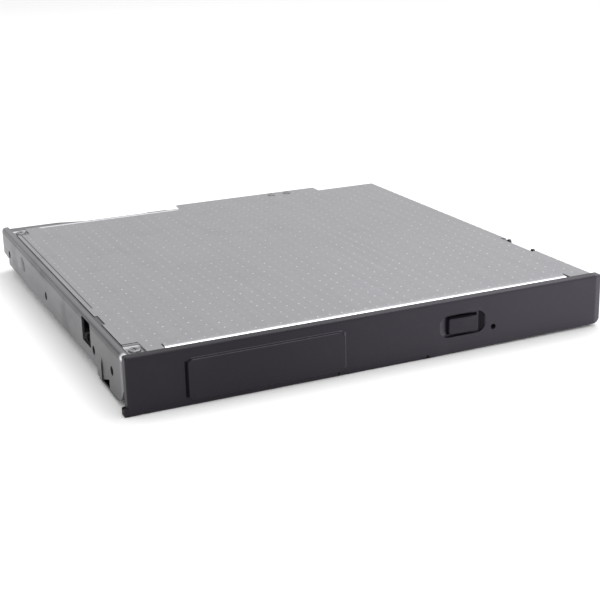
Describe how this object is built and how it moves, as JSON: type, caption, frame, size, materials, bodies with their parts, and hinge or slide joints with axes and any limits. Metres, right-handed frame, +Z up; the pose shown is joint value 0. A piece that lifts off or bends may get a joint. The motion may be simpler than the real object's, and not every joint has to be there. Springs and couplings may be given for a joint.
{
  "type": "slimline optical disc drive",
  "caption": "Flat tray-loading optical disc drive: sheet-metal chassis, plastic bezel with an eject button, and a sliding tray that carries spindle and pickup.",
  "frame": {"origin": "middle of the chassis underside", "axes": "+Z up, -Y out of the front through the bezel, +X to the right seen from the bezel"},
  "size_m": [0.1291, 0.1293, 0.014],
  "materials": {
    "bezel_plastic": "fine grain, charcoal",
    "black_sheet": "matt black",
    "bright_steel": "ground",
    "button_plastic": "fine grain, charcoal",
    "chip_plastic": "matt black",
    "circuit_board": "green laminate",
    "claw_plastic": "satin",
    "coil_wire": "enamelled wire",
    "connector_plastic": "matt black",
    "contact_gold": "plated",
    "cover_steel": "zinc plated, fine embossed dots",
    "damper_rubber": "matt",
    "flex_film": "amber film",
    "frame_metal": "cast, dark",
    "holder_plastic": "satin",
    "hub_metal": "turned",
    "lens_glass": "coated",
    "lever_plastic": "natural",
    "motor_steel": "satin",
    "pan_steel": "zinc plated, satin",
    "plate_steel": "satin",
    "rail_steel": "satin",
    "ring_rubber": "matt",
    "screw_steel": "plated",
    "sled_metal": "cast",
    "slide_steel": "bright",
    "spring_steel": "drawn",
    "switch_plastic": "matt",
    "tray_plastic": "fine grain black"
  },
  "bodies": {
    "chassis": {"base_pan": "pan_steel", "lock_post": "bright_steel", "top_cover": "cover_steel", "cover_screws": "screw_steel", "left_outer_rail": "rail_steel", "right_outer_rail": "rail_steel", "rear_board": "circuit_board", "rear_board_screws": "screw_steel", "rear_connector": "connector_plastic", "connector_contacts": "contact_gold", "flex_fixed_run": "flex_film"},
    "tray": {"tray": "tray_plastic", "tray_plate": "plate_steel", "tray_plate_posts": "tray_plastic", "tray_plate_screws": "screw_steel", "bezel": "bezel_plastic", "eject_switch": "switch_plastic", "tray_board": "circuit_board", "board_chips": "chip_plastic", "traverse_frame": "frame_metal", "traverse_cover": "black_sheet", "guide_rods": "bright_steel", "rubber_dampers": "damper_rubber", "damper_screws": "screw_steel", "spindle_motor": "motor_steel", "sled_motor": "motor_steel", "latch_bush": "tray_plastic", "latch_solenoid": "coil_wire", "ejector_tube": "tray_plastic", "flex_tray_run": "flex_film"},
    "left_slide": {"left_slide_rail": "slide_steel"},
    "right_slide": {"right_slide_rail": "slide_steel"},
    "flex_loop": {"flex_loop": "flex_film"},
    "button": {"eject_button": "button_plastic"},
    "spindle": {"turntable": "hub_metal", "turntable_ring": "ring_rubber"},
    "claw_1": {"disc_claw_1": "claw_plastic"},
    "claw_2": {"disc_claw_2": "claw_plastic"},
    "claw_3": {"disc_claw_3": "claw_plastic"},
    "pickup": {"pickup_sled": "sled_metal"},
    "lens": {"lens_holder": "holder_plastic", "objective_lens": "lens_glass"},
    "lead_screw": {"lead_screw": "bright_steel"},
    "latch": {"latch_lever": "lever_plastic"},
    "ejector": {"ejector_rod": "lever_plastic", "ejector_spring": "spring_steel"}
  },
  "joints": [
    {"name": "tray_slide", "type": "slide", "parent": "chassis", "child": "tray", "axis": [0, -1, 0], "range_m": [0, 0.118]},
    {"name": "left_rail_slide", "type": "slide", "parent": "chassis", "child": "left_slide", "axis": [0, -1, 0], "range_m": [0, 0.059]},
    {"name": "right_rail_slide", "type": "slide", "parent": "chassis", "child": "right_slide", "axis": [0, -1, 0], "range_m": [0, 0.059]},
    {"name": "flex_roll", "type": "slide", "parent": "chassis", "child": "flex_loop", "axis": [0, -1, 0], "range_m": [0, 0.059]},
    {"name": "eject_press", "type": "slide", "parent": "tray", "child": "button", "axis": [0, 1, 0], "range_m": [0, 0.0008], "stiffness_N_per_m": 900, "springref_m": -0.0006},
    {"name": "spindle_spin", "type": "hinge", "parent": "tray", "child": "spindle", "pos_m": [0, -0.00155, 0.009], "axis": [0, 0, 1], "continuous": true},
    {"name": "pickup_slide", "type": "slide", "parent": "tray", "child": "pickup", "axis": [-0.7071, -0.7071, 0], "range_m": [0, 0.033]},
    {"name": "lens_focus", "type": "slide", "parent": "pickup", "child": "lens", "axis": [0, 0, 1], "range_m": [-0.0003, 0.0004], "stiffness_N_per_m": 60},
    {"name": "lead_screw_spin", "type": "hinge", "parent": "tray", "child": "lead_screw", "pos_m": [0.01131, -0.01286, 0.0049], "axis": [-0.7071, -0.7071, 0], "continuous": true},
    {"name": "latch_swing", "type": "hinge", "parent": "tray", "child": "latch", "pos_m": [0.0475, -0.05105, 0.0017], "axis": [0, 0, 1], "range_deg": [0, 14], "stiffness_Nm_per_rad": 0.02},
    {"name": "ejector_push", "type": "slide", "parent": "tray", "child": "ejector", "axis": [0, 1, 0], "range_m": [0, 0.008], "deforming": ["ejector_spring"]},
    {"name": "claw_1_press", "type": "slide", "parent": "spindle", "child": "claw_1", "axis": [-0.866, -0.5, 0], "range_m": [0, 0.0006], "stiffness_N_per_m": 600, "springref_m": -0.0004},
    {"name": "claw_2_press", "type": "slide", "parent": "spindle", "child": "claw_2", "axis": [0.866, -0.5, 0], "range_m": [0, 0.0006], "stiffness_N_per_m": 600, "springref_m": -0.0004},
    {"name": "claw_3_press", "type": "slide", "parent": "spindle", "child": "claw_3", "axis": [0, 1, 0], "range_m": [0, 0.0006], "stiffness_N_per_m": 600, "springref_m": -0.0004}
  ],
  "couplings": [
    {"joint": "left_rail_slide", "follows": "tray_slide", "ratio": 0.5},
    {"joint": "right_rail_slide", "follows": "tray_slide", "ratio": 0.5},
    {"joint": "flex_roll", "follows": "tray_slide", "ratio": 0.5},
    {"joint": "ejector_push", "follows": "tray_slide", "ratio": 0.067796},
    {"joint": "lead_screw_spin", "follows": "pickup_slide", "rad_per_m": 2094.4}
  ]
}
